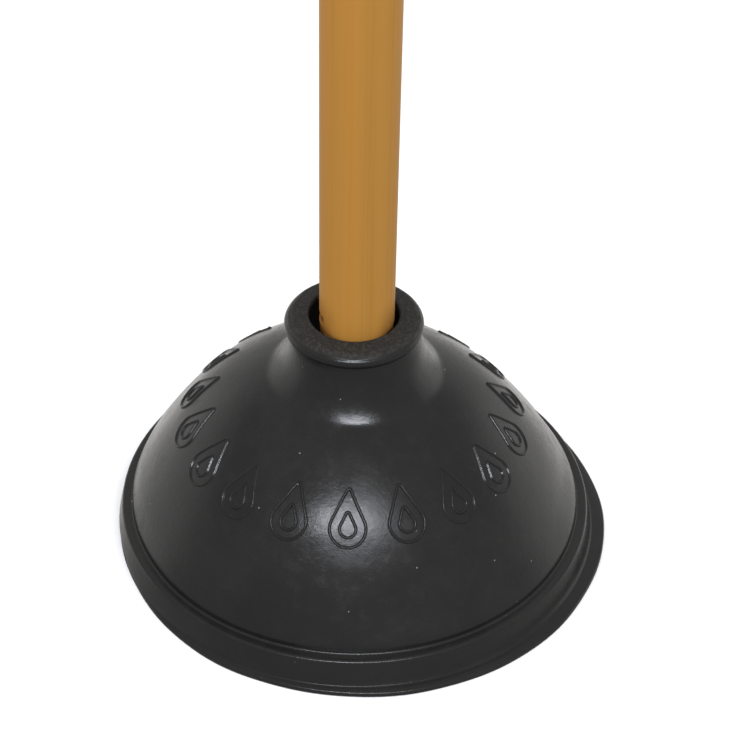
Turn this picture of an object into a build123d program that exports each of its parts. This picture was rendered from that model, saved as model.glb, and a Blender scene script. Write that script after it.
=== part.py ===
from build123d import *
import os
from math import sin, cos, tan, radians, sqrt

# Sink plunger: soft rubber force cup on a turned wooden handle.
# Millimetres, +Z up the handle, origin in the middle of the plane the cup's rim stands on.

# Rim: a thin sealing flange under a short, steep skirt
RIM_R = 76.2            # six-inch cup
RIM_EDGE = 1.8          # thickness of the flange at its edge
RIM_ROUND = 0.7
FLANGE_ROOT_R = 74.6    # crease between the flange and the skirt
FLANGE_ROOT_Z = 2.2
FLANGE_TOP_R = 75.1     # where the crease meets the flange's top face
FLANGE_TOP_Z = 2.1
SEAT_INNER_R = 71.2     # the flat ring the cup stands on runs from here almost to the rim
LIP_INNER_R = 70.2      # the inside wall: above the seat's inner edge, and half way up the skirt
LIP_INNER_Z = 1.2
LIP_WAIST_R = 67.8
LIP_WAIST_Z = 5.4
SKIRT_FOOT_R = 74.3
SKIRT_FOOT_Z = 2.9
SKIRT_TOP_R = 72.8
SPLIT_LOW_Z = 10.6      # ledge on top of the skirt, where the bell begins to flex
LEDGE_ROUND = 0.9

# Bell: tangent arcs from foot to neck, angles measured from vertical
BELL_R = 69.6
BELL_FOOT_Z = 11.4
BELL_FOOT_ROUND = 0.8
BELL_WALL = 3.6
SHOULDER_R = 7.0        # tight arc at the foot of the bell
SHOULDER_ANGLE = 26.7
FLANK_R = 134.0         # long arc up the side
FLANK_ANGLE = 39.0
CROWN_R = 80.0          # fuller arc over the top
CROWN_ANGLE = 63.0
NECK_R = 19.3
SPLIT_HIGH_Z = 66.0     # the neck is stiff above this height
BELL_MOUTH_R = 17.8     # opening in the top of the bell, around the socket

# Collar and the blind socket under it
BEAD_R = 20.4
NECK_TOP_Z = 77.9       # the neck ends here and flares out to the bead's foot
BEAD_FOOT_Z = 79.0
BEAD_TOP_Z = 80.1
BEAD_ROUND = 0.5
COLLAR_EDGE_R = 17.9    # where the bevel above the bead meets the collar's top face
COLLAR_EDGE_Z = 81.7
MOUTH_Z = 82.3
MOUTH_R = 13.4
MOUTH_ROUND = 0.5
COUNTERBORE_Z = 72.6
SOCKET_TOP_Z = 71.2     # a short cone leads from the counterbore into the socket
SOCKET_CLEARANCE = 0.05
SOCKET_FLOOR_Z = 47.0
BOSS_R = 16.0
BOSS_END_Z = 43.0
BOSS_ROUND = 2.0

# Handle: 7/8 in dowel, 19 in long
HANDLE_R = 11.1
HANDLE_LENGTH = 482.6
HANDLE_END_GAP = 0.3
HANDLE_TOP_ROUND = 6.0
FOOT_R = 10.9           # the threaded foot is turned a hair thinner than the dowel
FOOT_TOP_Z = 83.0
FOOT_CHAMFER = 1.2
THREAD_PITCH = 6.35
THREAD_DEPTH = 1.3
THREAD_WIDTH = 3.6
THREAD_ROOT_WIDTH = 2.7
THREAD_SHOULDER = 0.2   # depth at which the groove's flanks turn into its round root
THREAD_FLARE = 0.4
THREAD_OVERCUT = 0.8    # how far the cut reaches outside the foot
THREAD_LENGTH = 33.1    # runs out just inside the mouth of the collar
THREAD_END_ANGLE = 213.0

# Water drops moulded around the bell, each in two raised outlines, one inside the other
DROP_COUNT = 18
DROP_HEIGHT = 18.0
DROP_WIDTH = 11.6
DROP_INSET = 2.9        # from the outer outline to the inner one
DROP_LINE = 1.0
DROP_RELIEF = 0.6
DROP_ROOT = 0.6         # depth that the raised lines reach into the bell
DROP_ANGLE = 44.5       # where the band sits on the crown arc
DROP_CUT = 5.0          # half the length that each outline is extruded before it is trimmed
BAND_LOW_MARGIN = 4.0   # degrees of bell left bare below and above the band
BAND_HIGH_MARGIN = 6.0

SOCKET_R = FOOT_R + SOCKET_CLEARANCE
HANDLE_END_Z = SOCKET_FLOOR_Z + HANDLE_END_GAP
HANDLE_TOP_Z = HANDLE_END_Z + HANDLE_LENGTH


def on_arc(centre, radius, angle):
    """Point (r, z) on an arc; angle in degrees from the horizontal."""
    return (centre[0] + radius * cos(radians(angle)), centre[1] + radius * sin(radians(angle)))


# Arc centres in the (r, z) half plane
SHOULDER_C = (BELL_R - SHOULDER_R, BELL_FOOT_Z)
SHOULDER_END = on_arc(SHOULDER_C, SHOULDER_R, SHOULDER_ANGLE)
FLANK_C = on_arc(SHOULDER_END, -FLANK_R, SHOULDER_ANGLE)
FLANK_END = on_arc(FLANK_C, FLANK_R, FLANK_ANGLE)
CROWN_C = on_arc(FLANK_END, -CROWN_R, FLANK_ANGLE)
CROWN_END = on_arc(CROWN_C, CROWN_R, CROWN_ANGLE)
THROAT_R = (CROWN_END[0] - NECK_R) / (1 - cos(radians(CROWN_ANGLE)))
THROAT_C = on_arc(CROWN_END, THROAT_R, CROWN_ANGLE)


def throat_point(z):
    """Point (r, z) on the concave throat arc."""
    s = (THROAT_C[1] - z) / THROAT_R
    return (THROAT_C[0] - THROAT_R * sqrt(1 - s * s), z)


def flat(points):
    """(r, z) pairs as points of the XZ plane."""
    return [(p[0], 0, p[1]) for p in points]


def run(*points):
    """Straight run through (r, z) points."""
    return Polyline(*flat(points))


def bend(start, middle, end):
    """Arc through three (r, z) points."""
    return ThreePointArc(*flat([start, middle, end]))


def arc_between(centre, radius, start, end):
    """Arc from one angle to another, in degrees from the horizontal."""
    return bend(*[on_arc(centre, radius, a) for a in (start, (start + end) / 2, end)])


def turned(edges):
    """Solid of revolution about Z from closed edges in the XZ plane."""
    return revolve(make_face(edges), Axis.Z, 360)


def corner(corner_pt, a, b, radius):
    """Rounded corner: tangent points on the legs towards a and b, and the arc's middle."""
    ua = Vector(a[0] - corner_pt[0], a[1] - corner_pt[1]).normalized()
    ub = Vector(b[0] - corner_pt[0], b[1] - corner_pt[1]).normalized()
    half = ua.get_angle(ub) / 2
    leg = radius / tan(radians(half))
    reach = radius / sin(radians(half)) - radius
    um = (ua + ub).normalized()
    p = Vector(*corner_pt)
    start = p + ua * leg
    middle = p + um * reach
    end = p + ub * leg
    return [(start.X, start.Y), (middle.X, middle.Y), (end.X, end.Y)]


def sealing_lip():
    """Flange that seals against the basin, and the skirt above it."""
    inner_top = (BELL_R - BELL_WALL, SPLIT_LOW_Z)
    ledge = (SKIRT_TOP_R, SPLIT_LOW_Z)
    foot = (SKIRT_FOOT_R, SKIRT_FOOT_Z)
    root = (FLANGE_TOP_R, FLANGE_TOP_Z)
    seat = (SEAT_INNER_R, 0)
    rim_low = (RIM_R, 0)
    rim_high = (RIM_R, RIM_EDGE)
    inner_low = (LIP_INNER_R, LIP_INNER_Z)
    crest = corner(ledge, inner_top, foot, LEDGE_ROUND)
    high = corner(rim_high, root, rim_low, RIM_ROUND)
    low = corner(rim_low, rim_high, seat, RIM_ROUND)
    edges = [
        run(inner_top, crest[0]),
        bend(*crest),
        run(crest[2], foot),
        bend(foot, (FLANGE_ROOT_R, FLANGE_ROOT_Z), root),
        run(root, high[0]),
        bend(*high),
        run(high[2], low[0]),
        bend(*low),
        run(low[2], seat, inner_low),
        bend(inner_low, (LIP_WAIST_R, LIP_WAIST_Z), inner_top),
    ]
    return turned(edges)


def relief_band():
    """Thin shell over the bell, as thick as the raised drops stand proud."""
    lo, hi = SHOULDER_ANGLE + BAND_LOW_MARGIN, CROWN_ANGLE - BAND_HIGH_MARGIN
    inside, outside = -DROP_ROOT, DROP_RELIEF
    low_end = [on_arc(FLANK_C, FLANK_R + d, lo) for d in (inside, outside)]
    high_end = [on_arc(CROWN_C, CROWN_R + d, hi) for d in (inside, outside)]
    edges = [
        arc_between(FLANK_C, FLANK_R + outside, lo, FLANK_ANGLE),
        arc_between(CROWN_C, CROWN_R + outside, FLANK_ANGLE, hi),
        run(high_end[1], high_end[0]),
        arc_between(CROWN_C, CROWN_R + inside, hi, FLANK_ANGLE),
        arc_between(FLANK_C, FLANK_R + inside, FLANK_ANGLE, lo),
        run(low_end[0], low_end[1]),
    ]
    return turned(edges)


def drop_face(plane, inset):
    """Water drop outline: a circle with two tangents meeting in a point."""
    circle_r = DROP_WIDTH / 2
    cy = circle_r - DROP_HEIGHT / 2
    reach = DROP_HEIGHT / 2 - cy
    beta = circle_r / reach
    small_r = circle_r - inset
    tip = cy + small_r / beta
    tx, ty = small_r * sqrt(1 - beta * beta), cy + small_r * beta
    edges = [
        Line((tx, ty), (0, tip)),
        Line((0, tip), (-tx, ty)),
        ThreePointArc((-tx, ty), (0, cy - small_r), (tx, ty)),
    ]
    return plane * make_face(edges)


def drop_outlines():
    """The two raised outlines of one drop, lying on the bell at the +X side."""
    point = on_arc(CROWN_C, CROWN_R, DROP_ANGLE)
    out = Vector(cos(radians(DROP_ANGLE)), 0, sin(radians(DROP_ANGLE)))
    origin = Vector(point[0], 0, point[1]) - out * DROP_CUT
    plane = Plane(origin=origin, x_dir=(0, 1, 0), z_dir=out)
    solids = [
        extrude(drop_face(plane, inset), 2 * DROP_CUT, dir=out)
        for inset in (0, DROP_LINE, DROP_INSET, DROP_INSET + DROP_LINE)
    ]
    rings = (solids[0] - solids[1]) + (solids[2] - solids[3])
    return rings & relief_band()


def bell():
    """Flexible dome between the skirt and the neck, with the drops moulded on it."""
    inner_r = BELL_R - BELL_WALL
    bottom_in, bottom_out = (inner_r, SPLIT_LOW_Z), (BELL_R, SPLIT_LOW_Z)
    foot = corner(bottom_out, bottom_in, (BELL_R, BELL_FOOT_Z), BELL_FOOT_ROUND)
    r_s, r_f, r_c = SHOULDER_R - BELL_WALL, FLANK_R - BELL_WALL, CROWN_R - BELL_WALL
    top = throat_point(SPLIT_HIGH_Z)
    halfway = throat_point((SPLIT_HIGH_Z + CROWN_END[1]) / 2)
    inner_top = on_arc(CROWN_C, r_c, CROWN_ANGLE)
    slope = 1 / tan(radians(CROWN_ANGLE))
    throat = (BELL_MOUTH_R, inner_top[1] + (inner_top[0] - BELL_MOUTH_R) * slope)
    edges = [
        run(bottom_in, foot[0]),
        bend(*foot),
        arc_between(SHOULDER_C, SHOULDER_R, 0, SHOULDER_ANGLE),
        arc_between(FLANK_C, FLANK_R, SHOULDER_ANGLE, FLANK_ANGLE),
        arc_between(CROWN_C, CROWN_R, FLANK_ANGLE, CROWN_ANGLE),
        bend(CROWN_END, halfway, top),
        run(top, (BELL_MOUTH_R, SPLIT_HIGH_Z), throat, inner_top),
        arc_between(CROWN_C, r_c, CROWN_ANGLE, FLANK_ANGLE),
        arc_between(FLANK_C, r_f, FLANK_ANGLE, SHOULDER_ANGLE),
        arc_between(SHOULDER_C, r_s, SHOULDER_ANGLE, 0),
        run((inner_r, BELL_FOOT_Z), bottom_in),
    ]
    dome = turned(edges)
    rings = drop_outlines().solids()
    step = 360 / DROP_COUNT
    drops = [Rot(0, 0, step * (i + 0.5)) * ring for i in range(DROP_COUNT) for ring in rings]
    return dome.fuse(*drops)


def collar():
    """Stiff neck with its bead, and the blind socket hanging inside the bell."""
    foot = throat_point(SPLIT_HIGH_Z)
    halfway = throat_point((SPLIT_HIGH_Z + THROAT_C[1]) / 2)
    neck_low = (NECK_R, THROAT_C[1])
    neck_high = (NECK_R, NECK_TOP_Z)
    bead_low = (BEAD_R, BEAD_FOOT_Z)
    bead_high = (BEAD_R, BEAD_TOP_Z)
    mouth = (MOUTH_R, MOUTH_Z)
    counterbore = (MOUTH_R, COUNTERBORE_Z)
    boss_high = (BOSS_R, SPLIT_HIGH_Z)
    bevel_top = (COLLAR_EDGE_R, COLLAR_EDGE_Z)
    bead = corner(bead_high, bead_low, bevel_top, BEAD_ROUND)
    edge = corner(mouth, bevel_top, counterbore, MOUTH_ROUND)
    end = corner((BOSS_R, BOSS_END_Z), (0, BOSS_END_Z), boss_high, BOSS_ROUND)
    edges = [
        bend(foot, halfway, neck_low),
        run(neck_low, neck_high, bead_low, bead[0]),
        bend(*bead),
        run(bead[2], bevel_top, edge[0]),
        bend(*edge),
        run(
            edge[2],
            counterbore,
            (SOCKET_R, SOCKET_TOP_Z),
            (SOCKET_R, SOCKET_FLOOR_Z),
            (0, SOCKET_FLOOR_Z),
            (0, BOSS_END_Z),
            end[0],
        ),
        bend(*end),
        run(end[2], boss_high, foot),
    ]
    return turned(edges)


def thread_groove():
    """Coarse rounded groove winding up the foot of the handle."""
    start = HANDLE_END_Z - THREAD_PITCH
    height = THREAD_LENGTH + THREAD_PITCH
    path = Pos(0, 0, start) * Helix(THREAD_PITCH, height, FOOT_R)
    plane = Plane(origin=path @ 0, x_dir=(1, 0, 0), z_dir=path % 0)
    half_mouth, half_root = THREAD_WIDTH / 2 + THREAD_FLARE, THREAD_ROOT_WIDTH / 2
    mouth_low, mouth_high = (THREAD_OVERCUT, -half_mouth), (THREAD_OVERCUT, half_mouth)
    root_low, root_high = (-THREAD_SHOULDER, -half_root), (-THREAD_SHOULDER, half_root)
    profile = make_face(
        [
            Line(mouth_low, mouth_high),
            Line(mouth_high, root_high),
            ThreePointArc(root_high, (-THREAD_DEPTH, 0), root_low),
            Line(root_low, mouth_low),
        ]
    )
    groove = sweep(plane * profile, path=path, is_frenet=True)
    return Rot(0, 0, THREAD_END_ANGLE - 360 * height / THREAD_PITCH) * groove


def corner_cut(corner_pt, size):
    """Two ends of a 45 degree chamfer on a lower outside corner."""
    r, z = corner_pt
    return [(r - size, z), (r, z + size)]


def handle():
    """Straight dowel with a rounded top and a coarse thread cut in its foot."""
    middle_top, middle_end = (0, HANDLE_TOP_Z), (0, HANDLE_END_Z)
    side = (HANDLE_R, HANDLE_END_Z)
    top = corner((HANDLE_R, HANDLE_TOP_Z), side, middle_top, HANDLE_TOP_ROUND)
    chamfer = corner_cut((FOOT_R, HANDLE_END_Z), FOOT_CHAMFER)
    step = [(FOOT_R, FOOT_TOP_Z), (HANDLE_R, FOOT_TOP_Z + HANDLE_R - FOOT_R)]
    edges = [
        run(middle_end, *chamfer, *step, top[0]),
        bend(*top),
        run(top[2], middle_top, middle_end),
    ]
    return turned(edges) - thread_groove()


os.makedirs("parts", exist_ok=True)
for name, solid in {
    "sealing_lip": sealing_lip(),
    "bell": bell(),
    "collar": collar(),
    "handle": handle(),
}.items():
    solid.label = name
    export_step(solid, f"parts/{name}.step")
    box = solid.bounding_box()
    print(name, "solids", len(solid.solids()), "volume", round(solid.volume), box.min, box.max)
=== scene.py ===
import bpy
import math
import numpy as np
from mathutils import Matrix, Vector


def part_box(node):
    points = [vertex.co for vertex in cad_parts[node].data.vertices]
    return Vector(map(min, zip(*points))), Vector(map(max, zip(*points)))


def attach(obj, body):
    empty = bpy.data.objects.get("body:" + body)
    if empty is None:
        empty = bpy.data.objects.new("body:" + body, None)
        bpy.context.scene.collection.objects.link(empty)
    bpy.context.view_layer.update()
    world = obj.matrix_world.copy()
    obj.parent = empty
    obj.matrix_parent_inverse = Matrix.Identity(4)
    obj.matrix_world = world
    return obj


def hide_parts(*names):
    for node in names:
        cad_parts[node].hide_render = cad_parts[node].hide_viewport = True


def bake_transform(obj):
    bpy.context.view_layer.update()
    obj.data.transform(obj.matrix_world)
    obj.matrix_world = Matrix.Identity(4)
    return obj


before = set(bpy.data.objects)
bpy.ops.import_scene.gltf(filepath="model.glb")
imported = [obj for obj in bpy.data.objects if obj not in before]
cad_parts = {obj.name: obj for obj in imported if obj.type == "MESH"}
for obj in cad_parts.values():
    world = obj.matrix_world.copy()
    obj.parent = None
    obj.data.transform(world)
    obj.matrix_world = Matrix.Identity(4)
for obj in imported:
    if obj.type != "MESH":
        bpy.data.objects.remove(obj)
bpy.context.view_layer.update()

# Everything below is in metres; MM turns the design's millimetres into them.
MM = 0.001

# Sizes the frame gives
LIP_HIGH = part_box("sealing_lip")[1]
BELL_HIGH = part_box("bell")[1]
COLLAR_LOW, COLLAR_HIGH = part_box("collar")
HANDLE_LOW, HANDLE_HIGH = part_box("handle")
RIM_R = LIP_HIGH.x
LEDGE_Z = LIP_HIGH.z
BELL_R = BELL_HIGH.x
NECK_START_Z = BELL_HIGH.z
MOUTH_Z = COLLAR_HIGH.z
BOSS_END_Z = COLLAR_LOW.z
SOCKET_FLOOR_Z = HANDLE_LOW.z - 0.3 * MM  # just under the handle's foot

# Rim section
RIM_EDGE = 1.8 * MM
RIM_ROUND = 0.7 * MM
SEAT_R = 71.2 * MM
LIP_INNER = (70.2 * MM, 1.2 * MM)
LIP_WAIST = (67.8 * MM, 5.4 * MM)
ROOT_R, ROOT_Z = 74.6 * MM, 2.2 * MM
ROOT_ROUND = 0.45 * MM
FOOT_R, FOOT_Z = 74.3 * MM, 2.9 * MM
SKIRT_R = 72.8 * MM
LEDGE_ROUND = 0.9 * MM
WAIST_ROUND = 3.0 * MM
SEAT_ROUND = 0.8 * MM

# Bell section: arcs given by radius and by angle from vertical
WALL = 3.6 * MM
FOOT_FILLET = 0.8 * MM
FOOT_ANGLE = 7.0
SHOULDER_LIFT = 0.8 * MM
CEILING_ROUND = 3.0 * MM
SHOULDER_ARC, SHOULDER_ANGLE = 7.0 * MM, 26.7
FLANK_ARC, FLANK_ANGLE = 134.0 * MM, 39.0
CROWN_ARC, CROWN_ANGLE = 80.0 * MM, 63.0
THROAT_ARC, THROAT_ANGLE = 7.6 * MM, 43.0
NECK_R = 19.3 * MM

# Collar and socket
BEAD_R, BEAD_Z = 20.7 * MM, 78.6 * MM
BEAD_ARC = 2.0 * MM
BEAD_LOW, BEAD_HIGH = -60, 50
BEAD_DROP = 1.9 * MM
BEVEL_Z = 80.2 * MM
COLLAR_EDGE_R, COLLAR_EDGE_Z = 18.2 * MM, 81.7 * MM
COLLAR_EDGE_ROUND = 1.2 * MM
MOUTH_R = 13.4 * MM
MOUTH_LIFT = 0.1 * MM
MOUTH_ROUND = 0.6 * MM
COUNTERBORE_Z = 72.6 * MM
SOCKET_R = 11.05 * MM
SOCKET_TOP_Z = 71.2 * MM
BOSS_R = 16.0 * MM
BOSS_ROUND = 2.0 * MM
BOSS_TOP_Z = 65.0 * MM
SEAM_Z = 66.0 * MM  # where the socket meets the cup, inside the rubber
SEAM_GAP = 0.3 * MM

# Handle
HANDLE_R = HANDLE_HIGH.x
HANDLE_TOP_ROUND = 6.0 * MM
HANDLE_FOOT_R = 10.9 * MM
HANDLE_FOOT_ROUND = 1.0 * MM
HANDLE_FOOT_Z = 79.0 * MM
THREAD_PITCH = 6.35 * MM
THREAD_DEPTH = 1.3 * MM
THREAD_HALF_WIDTH = 1.5 * MM
THREAD_END_Z = 82.6 * MM
THREAD_END_ANGLE = 213.0
THREAD_FADE = 25.0
THREAD_SIDE = 1.5 * MM  # the groove starts this far inside the foot's side
THREAD_STEP = 0.4 * MM

# Raised drops
DROP_COUNT = 18
DROP_HEIGHT = 18.0 * MM
DROP_WIDTH = 11.6 * MM
DROP_INSETS = (0.5 * MM, 3.4 * MM)
DROP_RELIEF = 0.52 * MM
DROP_SINK = 0.12 * MM
DROP_LINE_HALF = 0.7 * MM
DROP_TIP_ROUND = 1.1 * MM
DROP_TIP_LEAST = 0.5 * MM
DROP_ANGLE = 44.5

# How the soft cup sits out of true
FLANGE_SHIFT = (2.8 * MM, -0.9 * MM)
BACK_SHIFT = -1.2 * MM
BACK_FADE = 15 * MM
OVAL = 0.4 * MM
LEAN_HEIGHTS = (10.6 * MM, 22 * MM, 45 * MM, 66 * MM, 73 * MM, 78 * MM)
LEAN = (0.15 * MM, -0.8 * MM, -1.2 * MM, 0.1 * MM, 0.1 * MM, -0.8 * MM)

# Waves round the cup: size, count, phase and twist per metre of height
FLANGE_WAVES = ((0.16 * MM, 5, 0.7, 0), (0.10 * MM, 9, 2.1, 0), (0.06 * MM, 17, 0, 0))
BELLY_WAVES = ((0.15 * MM, 3, 1.0, 40), (0.08 * MM, 7, 0, -60))

# Camera: where the lens is, its tilt and its small roll in degrees
CAMERA_DISTANCE = 6.09 * RIM_R
CAMERA_HEIGHT = 5.817 * RIM_R
CAMERA_SIDE = 5.7 * MM
CAMERA_PITCH = 39.66
CAMERA_ROLL = 1.26

# Mesh fineness
COLUMNS = 320
SOCKET_COLUMNS = 144
HANDLE_COLUMNS = 240
CUP_STEP = 1.6 * MM
END_DISC_R = 1.5 * MM

# Linear colours
RUBBER_DARK = (0.0100, 0.0098, 0.0096)
RUBBER_LIGHT = (0.0124, 0.0121, 0.0118)
RUBBER_FILM = (0.0150, 0.0145, 0.0140)
CUT_RUBBER_DARK = (0.010, 0.0092, 0.008)
CUT_RUBBER_LIGHT = (0.030, 0.0275, 0.024)
FINE_DUST = (0.20, 0.19, 0.18)
COARSE_DUST = (0.30, 0.29, 0.27)
WOOD_WARM = (0.425, 0.198, 0.0370)
WOOD_PALE = (0.400, 0.196, 0.0390)
WOOD_STREAK = (0.29, 0.125, 0.021)
WOOD_PORE = (0.30, 0.12, 0.022)
# Painted shade for the handle near the collar's mouth
WOOD_PAINTED_SHADE = (0.13, 0.050, 0.018)
WOOD_CUT = (0.075, 0.030, 0.010)
PAPER_DARK = (0.90, 0.90, 0.90)
PAPER_LIGHT = (0.92, 0.92, 0.92)
DAYLIGHT = (1, 0.985, 0.97)
LAMPLIGHT = (0.88, 0.92, 1.0)


# ---------------------------------------------------------------- section outlines

def polar(centre, radius, angle):
    """Point (r, z) on an arc; angle in degrees from the horizontal."""
    a = math.radians(angle)
    return (centre[0] + radius * math.cos(a), centre[1] + radius * math.sin(a))


def arc(centre, radius, start, end, steps):
    """Points along an arc, both ends included."""
    return [polar(centre, radius, start + (end - start) * i / steps) for i in range(steps + 1)]


def rounded(corner, before, after, radius, steps=6):
    """Points of a round corner between the legs towards two neighbours."""
    c, a, b = (Vector(p) for p in (corner, before, after))
    ua, ub = (a - c).normalized(), (b - c).normalized()
    half = ua.angle(ub) / 2
    centre = c + (ua + ub).normalized() * radius / math.sin(half)
    first = c + ua * radius / math.tan(half) - centre
    last = c + ub * radius / math.tan(half) - centre
    points = []
    for i in range(steps + 1):
        t = i / steps
        turn = first.slerp(last, t)
        points.append(tuple(centre + turn.normalized() * radius))
    return points


def dense(points, spacing):
    """The same outline with long runs divided."""
    out = [points[0]]
    for p in points[1:]:
        q = out[-1]
        length = math.dist(p, q)
        if length < 1e-7:
            continue
        n = max(1, math.ceil(length / spacing))
        dr, dz = (p[0] - q[0]) / n, (p[1] - q[1]) / n
        out += [(q[0] + dr * i, q[1] + dz * i) for i in range(1, n + 1)]
    return out


# Arc centres and joints of the bell's section, as (r, z)
SHOULDER_C = (BELL_R - SHOULDER_ARC, LEDGE_Z + SHOULDER_LIFT)
SHOULDER_END = polar(SHOULDER_C, SHOULDER_ARC, SHOULDER_ANGLE)
FLANK_C = polar(SHOULDER_END, -FLANK_ARC, SHOULDER_ANGLE)
FLANK_END = polar(FLANK_C, FLANK_ARC, FLANK_ANGLE)
CROWN_C = polar(FLANK_END, -CROWN_ARC, FLANK_ANGLE)
CROWN_END = polar(CROWN_C, CROWN_ARC, CROWN_ANGLE)
THROAT_C = polar(CROWN_END, THROAT_ARC, CROWN_ANGLE)
THROAT_END = polar(THROAT_C, -THROAT_ARC, THROAT_ANGLE)
NECK_ARC = (THROAT_END[0] - NECK_R) / (1 - math.cos(math.radians(THROAT_ANGLE)))
NECK_C = polar(THROAT_END, NECK_ARC, THROAT_ANGLE)


def rim_outline():
    """From the seat's inner edge round the flange and up the skirt to the ledge."""
    seat = (SEAT_R, 0)
    low = (RIM_R, 0)
    high = (RIM_R, RIM_EDGE)
    root = (ROOT_R + 0.6 * MM, ROOT_Z - 0.1 * MM)
    foot = (FOOT_R, FOOT_Z)
    ledge = (SKIRT_R, LEDGE_Z)
    crease = (BELL_R - 0.1 * MM, LEDGE_Z - 0.1 * MM)
    points = [seat]
    points += rounded(low, seat, high, RIM_ROUND)
    points += rounded(high, low, root, RIM_ROUND)
    points += rounded((ROOT_R, ROOT_Z), root, foot, ROOT_ROUND, 4)
    points += rounded(ledge, foot, crease, LEDGE_ROUND)
    bell_foot = polar(SHOULDER_C, SHOULDER_ARC, FOOT_ANGLE)
    points += rounded(crease, ledge, bell_foot, FOOT_FILLET, 10)
    return points


def bell_outline():
    """From the foot of the bell up its side and its neck to the bead."""
    points = arc(SHOULDER_C, SHOULDER_ARC, FOOT_ANGLE, SHOULDER_ANGLE, 6)
    points += arc(FLANK_C, FLANK_ARC, SHOULDER_ANGLE, FLANK_ANGLE, 22)
    points += arc(CROWN_C, CROWN_ARC, FLANK_ANGLE, CROWN_ANGLE, 28)
    points += arc(THROAT_C, -THROAT_ARC, CROWN_ANGLE, THROAT_ANGLE, 8)
    points += arc(NECK_C, -NECK_ARC, THROAT_ANGLE, 0, 14)
    return points


def collar_outline():
    """Bead, sloping top face, mouth and counterbore, down to the top of the socket."""
    bead = (BEAD_R - BEAD_ARC, BEAD_Z)
    under = (NECK_R, BEAD_Z - BEAD_DROP)
    edge = (COLLAR_EDGE_R, COLLAR_EDGE_Z)
    mouth = (MOUTH_R, MOUTH_Z + MOUTH_LIFT)
    step = (MOUTH_R, COUNTERBORE_Z)
    neck = (NECK_R, under[1] - 5 * MM)
    points = rounded(under, neck, polar(bead, BEAD_ARC, BEAD_LOW), 0.3 * MM, 3)
    points += arc(bead, BEAD_ARC, BEAD_LOW, BEAD_HIGH, 16)
    points += rounded(edge, polar(bead, BEAD_ARC, BEAD_HIGH), mouth, COLLAR_EDGE_ROUND, 6)
    points += rounded(mouth, edge, step, MOUTH_ROUND)
    points += [step, (SOCKET_R, SOCKET_TOP_Z)]
    return points


def inner_outline():
    """Inside of the cup, from the socket's outside wall down to the seat."""
    crown, flank, shoulder = CROWN_ARC - WALL, FLANK_ARC - WALL, SHOULDER_ARC - WALL
    ceiling = polar(CROWN_C, crown, CROWN_ANGLE)
    slope = 1 / math.tan(math.radians(CROWN_ANGLE))
    meet = (BOSS_R - SEAM_GAP, ceiling[1] + (ceiling[0] - BOSS_R) * slope)
    below = (meet[0], BOSS_END_Z)
    points = rounded(meet, below, ceiling, CEILING_ROUND)
    points += arc(CROWN_C, crown, CROWN_ANGLE, FLANK_ANGLE, 18)
    points += arc(FLANK_C, flank, FLANK_ANGLE, SHOULDER_ANGLE, 12)
    points += arc(SHOULDER_C, shoulder, SHOULDER_ANGLE, 0, 4)
    points.append((BELL_R - WALL, LEDGE_Z))
    points += rounded(LIP_WAIST, points[-1], LIP_INNER, WAIST_ROUND)
    points += rounded(LIP_INNER, LIP_WAIST, (SEAT_R, 0), SEAT_ROUND, 3)
    return points


# ---------------------------------------------------------------- meshes

def smooth_step(x):
    """0 below 0, 1 above 1, and an easy curve in between."""
    x = np.clip(x, 0, 1)
    return x * x * (3 - 2 * x)


def lean_at(z):
    """Sideways lean of the cup at a height, easing from one stated height to the next."""
    shift = np.full_like(z, LEAN[0])
    for z0, z1, a, b in zip(LEAN_HEIGHTS, LEAN_HEIGHTS[1:], LEAN, LEAN[1:]):
        shift += (b - a) * smooth_step((z - z0) / (z1 - z0))
    return shift


def waves(angle, z, terms):
    """Sum of waves round the cup at an angle and a height."""
    return sum(size * np.sin(count * angle + phase + twist * z)
               for size, count, phase, twist in terms)


def trim_at(angle):
    """Uneven edge that a knife left on the collar, its nicks mostly towards one side."""
    slow = 0.18 * np.sin(3 * angle + 0.4)
    beat = 0.13 * np.sin(8 * angle + 2) * np.sin(5 * angle + 0.9)
    nicks = 0.10 * np.sin(19 * angle + 3 * np.sin(2 * angle)) * (1 - np.sin(angle - 0.6))
    return (slow + beat + nicks) * MM


def settle(co):
    """Soft rubber out of true: oval, leaning, flange to one side, collar trimmed by hand."""
    co = np.array(co, float)
    r = np.hypot(co[:, 0], co[:, 1])
    z = co[:, 2]
    angle = np.arctan2(co[:, 1], co[:, 0])
    up_bell = (z - LEDGE_Z) / (NECK_START_Z - LEDGE_Z)
    flange = smooth_step((r - ROOT_R + 0.5 * MM) / (RIM_R - ROOT_R)) * (z < ROOT_Z + 0.3 * MM)
    free = smooth_step((r - SOCKET_R) / (2 * MM))
    soft = 1 - smooth_step(up_bell)
    belly = np.sin(np.pi * np.clip(up_bell, 0, 1))
    collar = smooth_step((z - BEVEL_Z) / MM) * smooth_step((r - MOUTH_R - MM) / (3 * MM))
    out = OVAL * soft * np.cos(2 * angle) + trim_at(angle) * collar
    out += waves(angle, z, FLANGE_WAVES) * flange + waves(angle, z, BELLY_WAVES) * belly
    back = np.clip(np.sin(angle), 0, 1) ** 2 * (1 - smooth_step((z - LEDGE_Z) / BACK_FADE))
    front = np.clip(-np.sin(angle), 0, 1) ** 2
    co[:, 0] += BACK_SHIFT * back + FLANGE_SHIFT[0] * (1 - 0.4 * front) * flange
    co[:, 0] += free * lean_at(z) + out * np.cos(angle)
    co[:, 1] += FLANGE_SHIFT[1] * flange + out * np.sin(angle)
    return co


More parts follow.
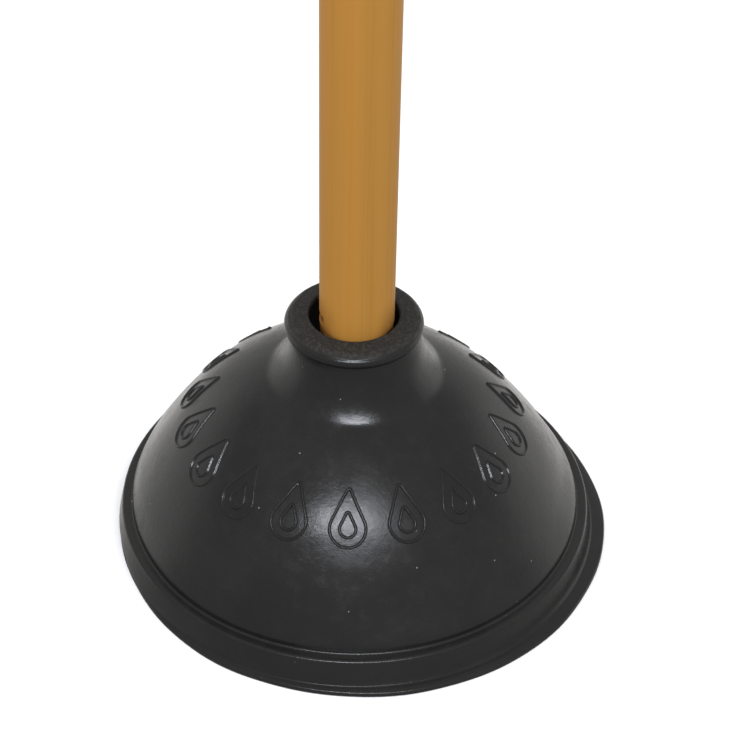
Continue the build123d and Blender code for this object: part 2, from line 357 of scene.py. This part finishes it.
def mesh_object(name, vertices, faces, material):
    """New object from vertex and face lists, smooth shaded, in one material."""
    mesh = bpy.data.meshes.new(name)
    mesh.from_pydata([tuple(v) for v in vertices], [], [tuple(f) for f in faces])
    mesh.validate()
    mesh.materials.append(material)
    mesh.polygons.foreach_set("use_smooth", [True] * len(mesh.polygons))
    obj = bpy.data.objects.new(name, mesh)
    bpy.context.scene.collection.objects.link(obj)
    return obj


def turned(outline, columns):
    """Vertices and quads of an outline turned about Z; the outline closes on itself."""
    rows = len(outline)
    angle = np.linspace(0, 2 * np.pi, columns, endpoint=False)
    r = np.array([p[0] for p in outline])[:, None]
    z = np.array([p[1] for p in outline])[:, None]
    grid = np.stack([r * np.cos(angle), r * np.sin(angle), z + 0 * angle], -1)
    index = np.arange(rows * columns).reshape(rows, columns)
    right = np.roll(index, -1, 1)
    up, up_right = np.roll(index, -1, 0), np.roll(right, -1, 0)
    faces = np.stack([index, right, up_right, up], -1).reshape(-1, 4)
    return grid.reshape(-1, 3), faces


def capped(outline, columns):
    """As turned, but the outline's two ends lie near the axis and are closed by flat discs."""
    vertices, faces = turned(outline, columns)
    first = tuple(range(columns))[::-1]
    last = tuple(range(len(vertices) - columns, len(vertices)))
    return vertices, [tuple(f) for f in faces[:-columns]] + [first, last]


def cup_skin(material):
    """The whole visible cup: flange, skirt, bell, neck, collar and the inside of the bell."""
    outline = rim_outline() + bell_outline() + collar_outline()
    hidden = [(SOCKET_R, NECK_START_Z - 2 * MM), (BOSS_R - SEAM_GAP, NECK_START_Z - 4 * MM)]
    loop = dense(outline + hidden + inner_outline() + [(SEAT_R, 0)], CUP_STEP)[:-1]
    vertices, faces = turned(loop, COLUMNS)
    obj = mesh_object("cup_skin", settle(vertices), faces, material)
    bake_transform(obj)
    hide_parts("sealing_lip", "bell")
    return obj


def neck_socket(material):
    """The blind socket that hangs inside the bell and holds the handle's foot."""
    end = (BOSS_R, BOSS_END_Z)
    loop = [(END_DISC_R, BOSS_END_Z)]
    loop += rounded(end, loop[0], (BOSS_R, BOSS_TOP_Z), BOSS_ROUND)
    loop += [(BOSS_R, BOSS_TOP_Z), (SOCKET_R, SEAM_Z), (SOCKET_R, SOCKET_FLOOR_Z)]
    loop += [(END_DISC_R, SOCKET_FLOOR_Z)]
    vertices, faces = capped(dense(loop, 3 * MM), SOCKET_COLUMNS)
    obj = mesh_object("neck_socket", settle(vertices), faces, material)
    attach(obj, "neck")
    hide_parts("collar")
    return obj


def handle_outline():
    """From the middle of the handle's foot up its side to the middle of its top."""
    foot = (HANDLE_FOOT_R, HANDLE_LOW.z)
    foot_end = (HANDLE_FOOT_R, HANDLE_FOOT_Z)
    shaft = (HANDLE_R, HANDLE_FOOT_Z + 1 * MM)
    clear_of_thread = (HANDLE_R, THREAD_END_Z + 4 * MM)
    top = (HANDLE_R, HANDLE_HIGH.z)
    below_round = (HANDLE_R, HANDLE_HIGH.z - HANDLE_TOP_ROUND)
    middle = (END_DISC_R, HANDLE_HIGH.z)
    threaded = dense([foot_end, shaft, clear_of_thread], THREAD_STEP)
    points = [(END_DISC_R, HANDLE_LOW.z)]
    points += rounded(foot, points[0], foot_end, HANDLE_FOOT_ROUND, 3)
    points += dense([points[-1], threaded[0]], THREAD_STEP)[1:-1] + threaded
    points += dense([points[-1], below_round], 8 * MM)[1:-1]
    points += rounded(top, below_round, middle, HANDLE_TOP_ROUND, 10)
    points += dense([points[-1], middle], 1.5 * MM)[1:]
    return points


def cut_thread(co):
    """Wind the thread's rounded groove into the foot, fading out as it leaves the collar."""
    r = np.hypot(co[:, 0], co[:, 1])
    angle = np.degrees(np.arctan2(co[:, 1], co[:, 0]))
    short_of_end = (angle - THREAD_END_ANGLE) % 360 - 360
    last_z = THREAD_END_Z + short_of_end / 360 * THREAD_PITCH
    turns = np.minimum(np.round((co[:, 2] - last_z) / THREAD_PITCH), 0)
    off = co[:, 2] - last_z - turns * THREAD_PITCH
    to_end = -turns * 360 - short_of_end
    fade = smooth_step(to_end / THREAD_FADE)
    groove = np.clip(1 - (off / THREAD_HALF_WIDTH) ** 2, 0, 1) ** 0.6
    side = smooth_step((r - HANDLE_FOOT_R + THREAD_SIDE) / MM)
    cut = 1 - THREAD_DEPTH * groove * fade * side / np.maximum(r, MM)
    co = np.array(co)
    co[:, 0] *= cut
    co[:, 1] *= cut
    return co


def handle_skin(material):
    """The handle's outside: plain shaft, rounded top and threaded foot."""
    vertices, faces = capped(handle_outline(), HANDLE_COLUMNS)
    obj = mesh_object("handle_skin", cut_thread(vertices), faces, material)
    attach(obj, "handle")
    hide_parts("handle")
    return obj


def drop_path(inset, spacing=0.45 * MM):
    """Closed outline of a drop as (x, y, normal x, normal y), tip up, about its middle."""
    big = DROP_WIDTH / 2
    big_y = big - DROP_HEIGHT / 2
    sine = (big - DROP_TIP_ROUND) / (DROP_HEIGHT / 2 - DROP_TIP_ROUND - big_y)
    tilt = math.asin(sine)
    radius = big - inset
    tip_round = max(DROP_TIP_ROUND - inset, DROP_TIP_LEAST)
    tip_y = big_y + (radius - tip_round) / sine
    out = []
    for cy, r, start, end in (
        (big_y, radius, math.pi - tilt, 2 * math.pi + tilt),
        (tip_y, tip_round, tilt, math.pi - tilt),
    ):
        n = max(6, math.ceil(r * (end - start) / spacing))
        for i in range(n + 1):
            t = start + (end - start) * i / n
            out.append((r * math.cos(t), cy + r * math.sin(t), math.cos(t), math.sin(t)))
    full = []
    for p, q in zip(out, out[1:] + out[:1]):
        n = max(1, math.ceil(math.dist(p[:2], q[:2]) / spacing))
        full += [tuple(p[k] + (q[k] - p[k]) * i / n for k in range(4)) for i in range(n)]
    return full


def on_bell(x, y, height, azimuth):
    """Point on the crown arc, x round the bell and y up it, standing proud by height."""
    angle = DROP_ANGLE + math.degrees(y / CROWN_ARC)
    surface_r = polar(CROWN_C, CROWN_ARC, angle)[0]
    r, z = polar(CROWN_C, CROWN_ARC + height, angle)
    a = azimuth + x / surface_r
    return (r * math.cos(a), r * math.sin(a), z)


def raised_line(path, azimuth, across):
    """Vertices of one closed raised line, a rounded ridge swept along its path."""
    vertices = []
    for x, y, nx, ny in path:
        for s in across:
            w = s * DROP_LINE_HALF
            ridge = math.cos(s * math.pi / 2) ** 2
            height = (DROP_RELIEF + DROP_SINK) * ridge - DROP_SINK
            vertices.append(on_bell(x + w * nx, y + w * ny, height, azimuth))
    return vertices


def raised_drops(material):
    """Rounded raised lines that trace each drop twice, one outline inside the other."""
    across = np.linspace(-1, 1, 9)
    m = len(across)
    vertices, faces = [], []
    for k in range(DROP_COUNT):
        azimuth = 2 * math.pi * (k + 0.5) / DROP_COUNT
        for inset in DROP_INSETS:
            path = drop_path(inset)
            base, n = len(vertices), len(path)
            vertices += raised_line(path, azimuth, across)
            for i in range(n):
                a, b = base + i * m, base + (i + 1) % n * m
                for j in range(m):
                    j_next = (j + 1) % m
                    faces.append((a + j, a + j_next, b + j_next, b + j))
    obj = mesh_object("raised_drops", settle(vertices), faces, material)
    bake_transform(obj)
    return obj


# ---------------------------------------------------------------- materials

def new_material(name):
    """New material with its default shader in place."""
    material = bpy.data.materials.new(name)
    material.use_nodes = True
    return material


class Nodes:
    """Short calls that build the node tree of a material or of the world."""

    def __init__(self, owner):
        self.tree = owner.node_tree
        self.shader = self.tree.nodes.get("Principled BSDF")
        self.where = self.add("ShaderNodeTexCoord").outputs["Object"]

    def add(self, kind, **settings):
        node = self.tree.nodes.new(kind)
        for key, value in settings.items():
            setattr(node, key, value)
        return node

    def link(self, source, target):
        self.tree.links.new(source, target)

    def stretched(self, scale):
        node = self.add("ShaderNodeMapping")
        node.inputs["Scale"].default_value = scale
        self.link(self.where, node.inputs["Vector"])
        return node.outputs[0]

    def noise(self, scale, detail=3.0, roughness=0.5, vector=None):
        node = self.add("ShaderNodeTexNoise")
        node.inputs["Scale"].default_value = scale
        node.inputs["Detail"].default_value = detail
        node.inputs["Roughness"].default_value = roughness
        self.link(vector or self.where, node.inputs["Vector"])
        return node.outputs["Fac"]

    def ramp(self, value, low, high, out_low=0.0, out_high=1.0):
        node = self.add("ShaderNodeMapRange", interpolation_type="SMOOTHSTEP")
        node.inputs["From Min"].default_value = low
        node.inputs["From Max"].default_value = high
        node.inputs["To Min"].default_value = out_low
        node.inputs["To Max"].default_value = out_high
        self.link(value, node.inputs["Value"])
        return node.outputs["Result"]

    def math(self, operation, a, b):
        node = self.add("ShaderNodeMath", operation=operation)
        for socket, value in zip(node.inputs, (a, b)):
            if isinstance(value, (int, float)):
                socket.default_value = value
            else:
                self.link(value, socket)
        return node.outputs[0]

    def mix(self, factor, a, b):
        node = self.add("ShaderNodeMix", data_type="RGBA")
        self.link(factor, node.inputs["Factor"])
        for socket, value in ((node.inputs[6], a), (node.inputs[7], b)):
            if isinstance(value, tuple):
                socket.default_value = (*value, 1)
            else:
                self.link(value, socket)
        return node.outputs[2]

    def bump(self, height, strength, distance, normal=None):
        node = self.add("ShaderNodeBump")
        node.inputs["Strength"].default_value = strength
        node.inputs["Distance"].default_value = distance
        self.link(height, node.inputs["Height"])
        if normal is not None:
            self.link(normal, node.inputs["Normal"])
        return node.outputs["Normal"]

    def components(self, vector):
        node = self.add("ShaderNodeSeparateXYZ")
        self.link(vector, node.inputs[0])
        return node.outputs

    def height(self):
        """Height above the rim's plane, in metres."""
        return self.components(self.where)["Z"]

    def radius(self):
        """Distance from the handle's axis, in metres."""
        flat = self.stretched((1, 1, 0))
        node = self.add("ShaderNodeVectorMath", operation="LENGTH")
        self.link(flat, node.inputs[0])
        return node.outputs["Value"]

    def specks(self, scale, size, rarity):
        """Small scattered dots: one in a few cells of a cell pattern, at the cell's seed point."""
        node = self.add("ShaderNodeTexVoronoi")
        node.inputs["Scale"].default_value = scale
        self.link(self.where, node.inputs["Vector"])
        dot = self.ramp(node.outputs["Distance"], size * 0.5, size, 1.0, 0.0)
        pick = self.add("ShaderNodeSeparateColor")
        self.link(node.outputs["Color"], pick.inputs[0])
        return self.math("MULTIPLY", dot, self.math("GREATER_THAN", pick.outputs[0], rarity))


def rubber_material():
    """Black moulded rubber: satin, unevenly glossy, dusty, dull and grainy where it was cut."""
    material = new_material("black_rubber")
    n = Nodes(material)
    mottle = n.ramp(n.noise(30, 5, 0.6), 0.38, 0.68)
    film = n.ramp(n.noise(210, 6, 0.7), 0.42, 0.74)
    collar = n.ramp(n.height(), BEVEL_Z, BEVEL_Z + 0.5 * MM)
    grainy = n.ramp(n.noise(1100, 4, 0.75), 0.44, 0.68)

    colour = n.mix(mottle, RUBBER_DARK, RUBBER_LIGHT)
    colour = n.mix(n.math("MULTIPLY", film, 0.2), colour, RUBBER_FILM)
    colour = n.mix(collar, colour, n.mix(grainy, CUT_RUBBER_DARK, CUT_RUBBER_LIGHT))
    colour = n.mix(n.specks(260, 0.075, 0.86), colour, FINE_DUST)
    colour = n.mix(n.specks(90, 0.045, 0.72), colour, COARSE_DUST)
    n.link(colour, n.shader.inputs["Base Color"])

    rough = n.math("ADD", n.ramp(mottle, 0, 1, 0.21, 0.28), n.ramp(film, 0, 1, 0.0, 0.09))
    rough = n.math("ADD", rough, n.math("MULTIPLY", collar, 0.42))
    n.link(rough, n.shader.inputs["Roughness"])

    lumps = n.bump(n.noise(60, 3, 0.5), 0.5, 0.35 * MM)
    peel = n.bump(n.noise(620, 3, 0.6), 0.45, 0.10 * MM, lumps)
    fine = n.bump(n.noise(2400, 2, 0.6), 0.6, 0.05 * MM, peel)
    coarse = n.math("MULTIPLY", n.noise(1100, 4, 0.8), collar)
    n.link(n.bump(coarse, 0.8, 0.35 * MM, fine), n.shader.inputs["Normal"])
    n.shader.inputs["Specular IOR Level"].default_value = 0.40
    return material


def wood_material():
    """Pale hardwood under a golden satin lacquer, with fine streaks along the grain."""
    material = new_material("lacquered_wood")
    n = Nodes(material)
    streak = n.noise(1.0, 4, 0.55, n.stretched((520, 520, 5)))
    broad = n.noise(1.0, 2, 0.5, n.stretched((75, 75, 3)))
    pores = n.ramp(n.noise(1.0, 2, 0.5, n.stretched((1500, 1500, 45))), 0.62, 0.75)

    colour = n.mix(n.ramp(broad, 0.35, 0.65), WOOD_WARM, WOOD_PALE)
    colour = n.mix(n.math("MULTIPLY", n.ramp(streak, 0.45, 0.8), 0.30), colour, WOOD_STREAK)
    colour = n.mix(n.math("MULTIPLY", pores, 0.16), colour, WOOD_PORE)
    # Painted shade: the handle darkened near the collar's mouth, towards its two sides
    colour = n.mix(painted_shade_by_mouth(n), colour, WOOD_PAINTED_SHADE)
    # Much darker wood inside the thread's groove and over the foot
    colour = n.mix(thread_cut(n), colour, WOOD_CUT)
    n.link(colour, n.shader.inputs["Base Color"])

    n.link(n.ramp(streak, 0.3, 0.7, 0.46, 0.56), n.shader.inputs["Roughness"])
    n.link(n.bump(streak, 0.12, 0.08 * MM), n.shader.inputs["Normal"])
    n.shader.inputs["Specular IOR Level"].default_value = 0.16
    return material


def painted_shade_by_mouth(n):
    """Painted shade on the handle: darker only near the collar's mouth, and mostly at its two
    sides, broken up by noise.
    """
    near_mouth = n.ramp(n.height(), MOUTH_Z - 3 * MM, MOUTH_Z + 11 * MM, 1.0, 0.0)
    off_middle = n.math("ABSOLUTE", n.components(n.where)["X"], 0)
    to_side = n.ramp(off_middle, 0.40 * HANDLE_R, 0.90 * HANDLE_R)
    painted_shade = n.math("MULTIPLY", to_side, n.ramp(n.noise(150, 3, 0.6), 0.25, 0.60, 0.45, 1.0))
    return n.math("MULTIPLY", n.math("MULTIPLY", near_mouth, painted_shade), 0.65)


def thread_cut(n):
    """Darkens the wood wherever its surface lies inside the shaft's radius, in the thread's groove
    and over the foot, but not on the rounded top.
    """
    cut = n.ramp(n.radius(), HANDLE_FOOT_R - 0.7 * MM, HANDLE_R - 0.15 * MM, 1.0, 0.0)
    round_z = HANDLE_HIGH.z - HANDLE_TOP_ROUND
    below_top = n.ramp(n.height(), round_z - HANDLE_TOP_ROUND, round_z, 1.0, 0.0)
    return n.math("MULTIPLY", cut, below_top)


def floor_material():
    """Plain pale paper with a faint tooth."""
    material = new_material("pale_floor")
    n = Nodes(material)
    tone = n.ramp(n.noise(3, 2), 0.3, 0.7)
    n.link(n.mix(tone, PAPER_DARK, PAPER_LIGHT), n.shader.inputs["Base Color"])
    n.shader.inputs["Roughness"].default_value = 0.9
    n.shader.inputs["Specular IOR Level"].default_value = 0.1
    return material


# ---------------------------------------------------------------- stage

def floor():
    """Wide pale ground for the camera alone: it sends no light back onto the cup."""
    mesh = bpy.data.meshes.new("floor")
    half = 6.0
    corners = [(-half, -half, 0), (half, -half, 0), (half, half, 0), (-half, half, 0)]
    mesh.from_pydata(corners, [], [(0, 1, 2, 3)])
    mesh.materials.append(floor_material())
    obj = bpy.data.objects.new("floor", mesh)
    obj.location.z = -0.05 * MM
    obj.visible_diffuse = False
    obj.visible_glossy = False
    obj.visible_shadow = False
    bpy.context.scene.collection.objects.link(obj)


def lamp(name, place, aim, size, power, tint):
    """Soft oval light at a place, pointed at aim, out of the camera's sight."""
    data = bpy.data.lights.new(name, "AREA")
    data.shape = "ELLIPSE"
    data.size, data.size_y = size
    data.energy = power
    data.color = tint
    obj = bpy.data.objects.new(name, data)
    obj.location = place
    obj.rotation_euler = (Vector(aim) - Vector(place)).to_track_quat("-Z", "Y").to_euler()
    obj.visible_camera = False
    bpy.context.scene.collection.objects.link(obj)


def wash(side):
    """Broad daylight from one side, -1 or 1, that makes no reflection of its own."""
    data = bpy.data.lights.new("wash", "SUN")
    data.energy = 1.6
    data.angle = math.radians(60)
    obj = bpy.data.objects.new("wash", data)
    obj.rotation_euler = Vector((-0.62 * side, 0.32, -0.72)).to_track_quat("-Z", "Y").to_euler()
    obj.visible_glossy = False
    bpy.context.scene.collection.objects.link(obj)


def lights():
    """Daylight from both sides, and one wide, shallow lamp by the camera."""
    wash(-1)
    wash(1)
    lamp("by_the_camera", (0.0, -1.12, 1.06), aim=(0, 0, 0.04), size=(0.95, 0.17),
         power=14, tint=LAMPLIGHT)


def room_brightness(n):
    """How bright the room is in each direction; x is right, y is away and z is up."""
    x, y, z = n.components(n.add("ShaderNodeTexCoord").outputs["Generated"])
    aside = n.math("MULTIPLY", n.math("ABSOLUTE", x, 0), 0.90)
    windows = n.math("ADD", aside, n.math("MULTIPLY", y, 0.43))
    windows = n.math("SUBTRACT", windows, n.ramp(x, 0.2, 0.6, 0.0, 0.035))
    low_behind = n.math("MULTIPLY", n.ramp(y, 0.3, 0.8), n.ramp(z, -0.45, -0.15, 1.0, 0.0))
    level = n.ramp(windows, 0.82, 0.97, 0.38, 1.0)
    level = n.math("ADD", level, n.math("MULTIPLY", low_behind, 0.6))
    level = n.math("ADD", level, n.ramp(y, 0.4, 0.9, 0.0, 0.25))
    underneath = n.math("MULTIPLY", n.ramp(z, -0.80, -0.48, 0.75, 0.0), n.ramp(y, 0.0, 0.5))
    level = n.math("MULTIPLY", level, n.math("SUBTRACT", 1, underneath))
    return n.math("MULTIPLY", level, n.ramp(x, -0.9, -0.3, 0.84, 1.0))


def room():
    """Grey room, lighter to both sides and low behind; the camera itself sees a pale wall."""
    world = bpy.data.worlds.new("studio")
    world.use_nodes = True
    n = Nodes(world)
    dim = n.tree.nodes["Background"]
    dim.inputs["Color"].default_value = (*DAYLIGHT, 1)
    n.link(room_brightness(n), dim.inputs["Strength"])
    pale = n.add("ShaderNodeBackground")
    pale.inputs["Color"].default_value = (1, 1, 1, 1)
    pick = n.add("ShaderNodeMixShader")
    n.link(n.add("ShaderNodeLightPath").outputs["Is Camera Ray"], pick.inputs["Fac"])
    n.link(dim.outputs[0], pick.inputs[1])
    n.link(pale.outputs[0], pick.inputs[2])
    n.link(pick.outputs[0], n.tree.nodes["World Output"].inputs["Surface"])
    bpy.context.scene.world = world


def camera():
    """A long lens about 0.6 m off, looking down on the cup."""
    data = bpy.data.cameras.new("main_view")
    data.sensor_width = 36
    data.lens = 96
    data.clip_end = 20
    data.dof.use_dof = False
    obj = bpy.data.objects.new("main_view", data)
    obj.location = (CAMERA_SIDE, -CAMERA_DISTANCE, CAMERA_HEIGHT)
    obj.rotation_mode = "XYZ"
    obj.rotation_euler = (math.radians(90 - CAMERA_PITCH), 0, 0)
    obj.rotation_euler.rotate_axis("Z", math.radians(CAMERA_ROLL))
    bpy.context.scene.collection.objects.link(obj)
    bpy.context.scene.camera = obj


rubber = rubber_material()
wood = wood_material()
cup_skin(rubber)
neck_socket(rubber)
raised_drops(rubber)
handle_skin(wood)
floor()
lights()
room()
camera()
bpy.context.scene.view_settings.view_transform = "Standard"
